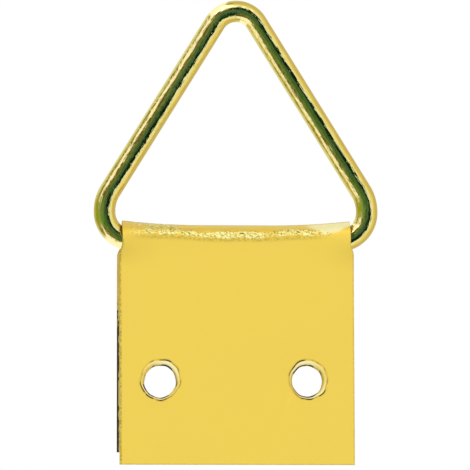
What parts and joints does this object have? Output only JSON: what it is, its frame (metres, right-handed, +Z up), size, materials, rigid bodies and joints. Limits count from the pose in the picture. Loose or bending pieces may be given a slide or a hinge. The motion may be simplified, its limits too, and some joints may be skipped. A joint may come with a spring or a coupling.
{
  "type": "hinged picture hanger",
  "caption": "Round-wire triangle that swings in the rolled fold of a two-leaf sheet strap, with two screw holes through both leaves.",
  "frame": {"origin": "midway between the two screw holes, on the rear face of the back leaf", "axes": "+X along the hinge, +Y out of the rear face into the picture frame, +Z up towards the triangle's apex at rest"},
  "size_m": [0.025, 0.0042, 0.041],
  "materials": {
    "strap_brass": "satin brass plating on pressed sheet",
    "wire_brass": "polished brass plating on drawn wire"
  },
  "bodies": {
    "plate": {"folded_plate": "strap_brass"},
    "ring": {"triangle_ring": "wire_brass"}
  },
  "joints": [
    {"name": "ring_swing", "type": "hinge", "parent": "plate", "child": "ring", "pos_m": [0, -0.00174, 0.0124], "axis": [1, 0, 0], "range_deg": [-144, 148]}
  ]
}
